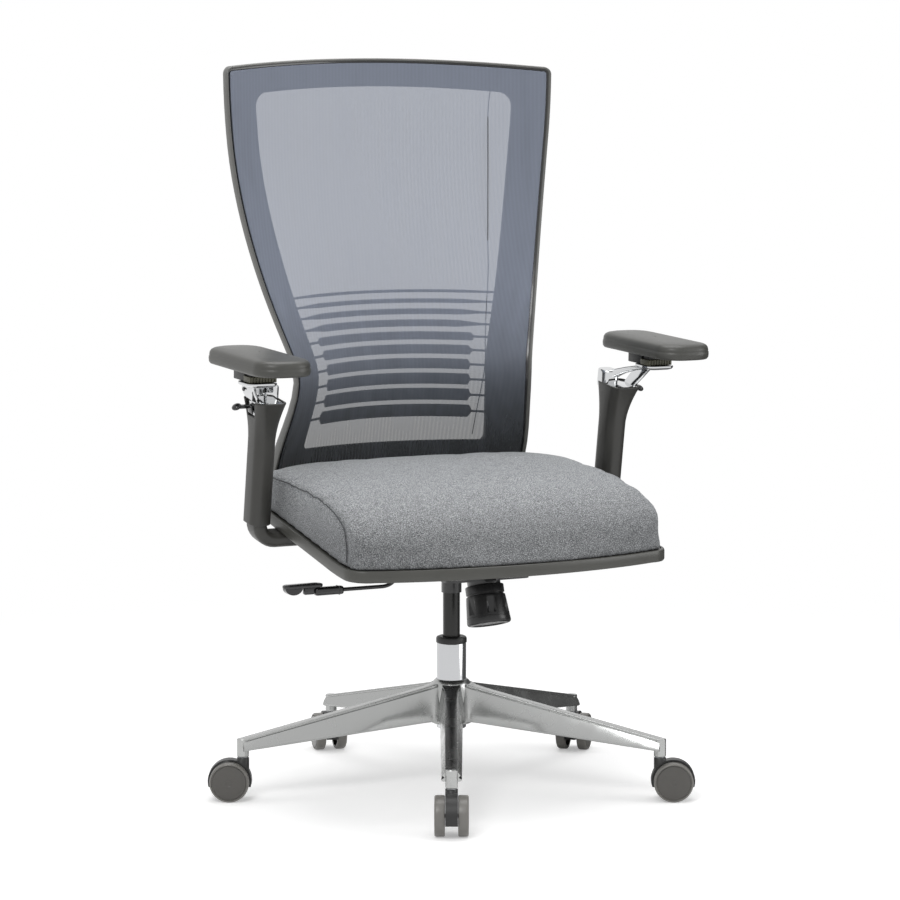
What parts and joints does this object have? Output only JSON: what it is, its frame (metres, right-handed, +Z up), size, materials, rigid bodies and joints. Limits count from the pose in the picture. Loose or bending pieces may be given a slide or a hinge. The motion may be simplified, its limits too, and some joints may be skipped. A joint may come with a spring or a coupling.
{
  "type": "office chair",
  "caption": "Mesh-back swivel office chair with height-adjustable arms, a padded seat, a reclining back and a polished star base on casters.",
  "frame": {"origin": "the point of the floor under the column, on the swivel axis", "axes": "+Z up; the sitter faces -Y and the lever is on the -X side"},
  "size_m": [0.778, 0.7302, 1.116],
  "materials": {
    "polished_aluminium": "polished",
    "column_steel": "satin",
    "piston_steel": "gloss",
    "chrome": "polished",
    "steel": "brushed",
    "black_metal": "satin",
    "black_plastic": "satin",
    "grey_plastic": "satin",
    "pad_black": "soft",
    "wheel_grey": "satin",
    "seat_fabric": "melange weave",
    "back_fabric": "open mesh"
  },
  "bodies": {
    "base": {"base_star": "polished_aluminium", "column_tube": "column_steel", "column_cap": "black_plastic"},
    "gas_piston": {"column_piston": "piston_steel"},
    "valve": {"valve_button": "steel"},
    "mechanism": {"mechanism_housing": "black_metal", "recline_pin": "steel", "seat_tilt_pin": "steel", "tension_spring": "steel"},
    "knob": {"tension_knob": "black_plastic", "tension_rod": "steel"},
    "lever": {"lift_lever": "black_metal", "lever_grip": "black_plastic"},
    "paddle": {"lock_paddle": "black_plastic"},
    "seat": {"seat_carrier": "black_metal", "seat_pan": "grey_plastic", "seat_cushion": "seat_fabric", "seat_bolts": "steel", "left_arm_bar": "black_metal", "left_arm_post": "grey_plastic", "right_arm_bar": "black_metal", "right_arm_post": "grey_plastic", "arm_bolts": "steel"},
    "back": {"back_carrier": "black_metal", "back_shell": "grey_plastic", "lumbar_frame": "grey_plastic", "back_mesh": "back_fabric", "edge_trim": "black_plastic", "back_bolts": "steel"},
    "left_arm": {"left_arm_bracket": "chrome"},
    "left_trigger": {"left_arm_trigger": "black_plastic"},
    "left_slide": {"left_pad_slide": "black_plastic"},
    "left_pad": {"left_arm_pad": "pad_black"},
    "right_arm": {"right_arm_bracket": "chrome"},
    "right_trigger": {"right_arm_trigger": "black_plastic"},
    "right_slide": {"right_pad_slide": "black_plastic"},
    "right_pad": {"right_arm_pad": "pad_black"},
    "caster_1": {"caster_1_body": "black_plastic", "caster_1_pins": "steel"},
    "caster_1_wheel_left": {"caster_1_left_wheel": "wheel_grey"},
    "caster_1_wheel_right": {"caster_1_right_wheel": "wheel_grey"},
    "caster_2": {"caster_2_body": "black_plastic", "caster_2_pins": "steel"},
    "caster_2_wheel_left": {"caster_2_left_wheel": "wheel_grey"},
    "caster_2_wheel_right": {"caster_2_right_wheel": "wheel_grey"},
    "caster_3": {"caster_3_body": "black_plastic", "caster_3_pins": "steel"},
    "caster_3_wheel_left": {"caster_3_left_wheel": "wheel_grey"},
    "caster_3_wheel_right": {"caster_3_right_wheel": "wheel_grey"},
    "caster_4": {"caster_4_body": "black_plastic", "caster_4_pins": "steel"},
    "caster_4_wheel_left": {"caster_4_left_wheel": "wheel_grey"},
    "caster_4_wheel_right": {"caster_4_right_wheel": "wheel_grey"},
    "caster_5": {"caster_5_body": "black_plastic", "caster_5_pins": "steel"},
    "caster_5_wheel_left": {"caster_5_left_wheel": "wheel_grey"},
    "caster_5_wheel_right": {"caster_5_right_wheel": "wheel_grey"}
  },
  "joints": [
    {"name": "lift", "type": "slide", "parent": "base", "child": "gas_piston", "axis": [0, 0, 1], "range_m": [-0.055, 0.045]},
    {"name": "swivel", "type": "hinge", "parent": "gas_piston", "child": "mechanism", "pos_m": [0, 0, 0.336], "axis": [0, 0, 1], "continuous": true},
    {"name": "valve_press", "type": "slide", "parent": "gas_piston", "child": "valve", "axis": [0, 0, -1], "range_m": [0, 0.0046]},
    {"name": "lever_lift", "type": "hinge", "parent": "mechanism", "child": "lever", "pos_m": [-0.03, 0, 0.3603], "axis": [0, 1, 0], "range_deg": [0, 7.5], "stiffness_Nm_per_rad": 1, "springref_deg": -14.32},
    {"name": "paddle_flip", "type": "hinge", "parent": "lever", "child": "paddle", "pos_m": [-0.251, 0, 0.3183], "axis": [1, 0, 0], "range_deg": [-20, 20]},
    {"name": "tension_turn", "type": "hinge", "parent": "mechanism", "child": "knob", "pos_m": [0, -0.106, 0.334], "axis": [0, 0.2874, 0.9578], "continuous": true},
    {"name": "recline", "type": "hinge", "parent": "mechanism", "child": "back", "pos_m": [0, 0.07, 0.352], "axis": [-1, 0, 0], "range_deg": [0, 22], "stiffness_Nm_per_rad": 60, "springref_deg": -28.65},
    {"name": "seat_tilt", "type": "hinge", "parent": "mechanism", "child": "seat", "pos_m": [0, -0.07, 0.357], "axis": [-1, 0, 0], "range_deg": [0, 8]},
    {"name": "left_arm_height", "type": "slide", "parent": "seat", "child": "left_arm", "axis": [0, -0.1564, 0.9877], "range_m": [0, 0.08]},
    {"name": "left_trigger_press", "type": "hinge", "parent": "left_arm", "child": "left_trigger", "pos_m": [-0.309, 0.02184, 0.59878], "axis": [0, 0.9877, 0.1564], "range_deg": [0, 8], "stiffness_Nm_per_rad": 0.1, "springref_deg": -5.73},
    {"name": "left_pad_turn", "type": "hinge", "parent": "left_arm", "child": "left_slide", "pos_m": [-0.344, -0.03801, 0.66144], "axis": [0, -0.0436, 0.999], "range_deg": [-20, 20]},
    {"name": "left_pad_shift", "type": "slide", "parent": "left_slide", "child": "left_pad", "axis": [0, 0.999, 0.0436], "range_m": [-0.03, 0.03]},
    {"name": "right_arm_height", "type": "slide", "parent": "seat", "child": "right_arm", "axis": [0, -0.1564, 0.9877], "range_m": [0, 0.08]},
    {"name": "right_trigger_press", "type": "hinge", "parent": "right_arm", "child": "right_trigger", "pos_m": [0.309, 0.02184, 0.59878], "axis": [0, -0.9877, -0.1564], "range_deg": [0, 8], "stiffness_Nm_per_rad": 0.1, "springref_deg": -5.73},
    {"name": "right_pad_turn", "type": "hinge", "parent": "right_arm", "child": "right_slide", "pos_m": [0.344, -0.03801, 0.66144], "axis": [0, -0.0436, 0.999], "range_deg": [-20, 20]},
    {"name": "right_pad_shift", "type": "slide", "parent": "right_slide", "child": "right_pad", "axis": [0, 0.999, 0.0436], "range_m": [-0.03, 0.03]},
    {"name": "caster_1_swivel", "type": "hinge", "parent": "base", "child": "caster_1", "pos_m": [-0.15027, -0.29492, 0.066], "axis": [0, 0, 1], "continuous": true},
    {"name": "caster_1_left_roll", "type": "hinge", "parent": "caster_1", "child": "caster_1_wheel_left", "pos_m": [-0.15935, -0.31274, 0.03], "axis": [0.891, -0.454, 0], "continuous": true},
    {"name": "caster_1_right_roll", "type": "hinge", "parent": "caster_1", "child": "caster_1_wheel_right", "pos_m": [-0.15935, -0.31274, 0.03], "axis": [0.891, -0.454, 0], "continuous": true},
    {"name": "caster_2_swivel", "type": "hinge", "parent": "base", "child": "caster_2", "pos_m": [0.23405, -0.23405, 0.066], "axis": [0, 0, 1], "continuous": true},
    {"name": "caster_2_left_roll", "type": "hinge", "parent": "caster_2", "child": "caster_2_wheel_left", "pos_m": [0.25187, -0.24313, 0.03], "axis": [0.454, 0.891, 0], "continuous": true},
    {"name": "caster_2_right_roll", "type": "hinge", "parent": "caster_2", "child": "caster_2_wheel_right", "pos_m": [0.25187, -0.24313, 0.03], "axis": [0.454, 0.891, 0], "continuous": true},
    {"name": "caster_3_swivel", "type": "hinge", "parent": "base", "child": "caster_3", "pos_m": [0.29492, 0.15027, 0.066], "axis": [0, 0, 1], "continuous": true},
    {"name": "caster_3_left_roll", "type": "hinge", "parent": "caster_3", "child": "caster_3_wheel_left", "pos_m": [0.30804, 0.16537, 0.03], "axis": [-0.7547, 0.6561, 0], "continuous": true},
    {"name": "caster_3_right_roll", "type": "hinge", "parent": "caster_3", "child": "caster_3_wheel_right", "pos_m": [0.30804, 0.16537, 0.03], "axis": [-0.7547, 0.6561, 0], "continuous": true},
    {"name": "caster_4_swivel", "type": "hinge", "parent": "base", "child": "caster_4", "pos_m": [-0.05178, 0.32693, 0.066], "axis": [0, 0, 1], "continuous": true},
    {"name": "caster_4_left_roll", "type": "hinge", "parent": "caster_4", "child": "caster_4_wheel_left", "pos_m": [-0.04728, 0.34641, 0.03], "axis": [-0.9744, 0.225, 0], "continuous": true},
    {"name": "caster_4_right_roll", "type": "hinge", "parent": "caster_4", "child": "caster_4_wheel_right", "pos_m": [-0.04728, 0.34641, 0.03], "axis": [-0.9744, 0.225, 0], "continuous": true},
    {"name": "caster_5_swivel", "type": "hinge", "parent": "base", "child": "caster_5", "pos_m": [-0.32693, 0.05178, 0.066], "axis": [0, 0, 1], "continuous": true},
    {"name": "caster_5_left_roll", "type": "hinge", "parent": "caster_5", "child": "caster_5_wheel_left", "pos_m": [-0.34475, 0.06086, 0.03], "axis": [-0.454, -0.891, 0], "continuous": true},
    {"name": "caster_5_right_roll", "type": "hinge", "parent": "caster_5", "child": "caster_5_wheel_right", "pos_m": [-0.34475, 0.06086, 0.03], "axis": [-0.454, -0.891, 0], "continuous": true}
  ],
  "couplings": [
    {"joint": "seat_tilt", "follows": "recline", "ratio": 0.35},
    {"joint": "valve_press", "follows": "lever_lift", "m_per_rad": 0.0351}
  ]
}
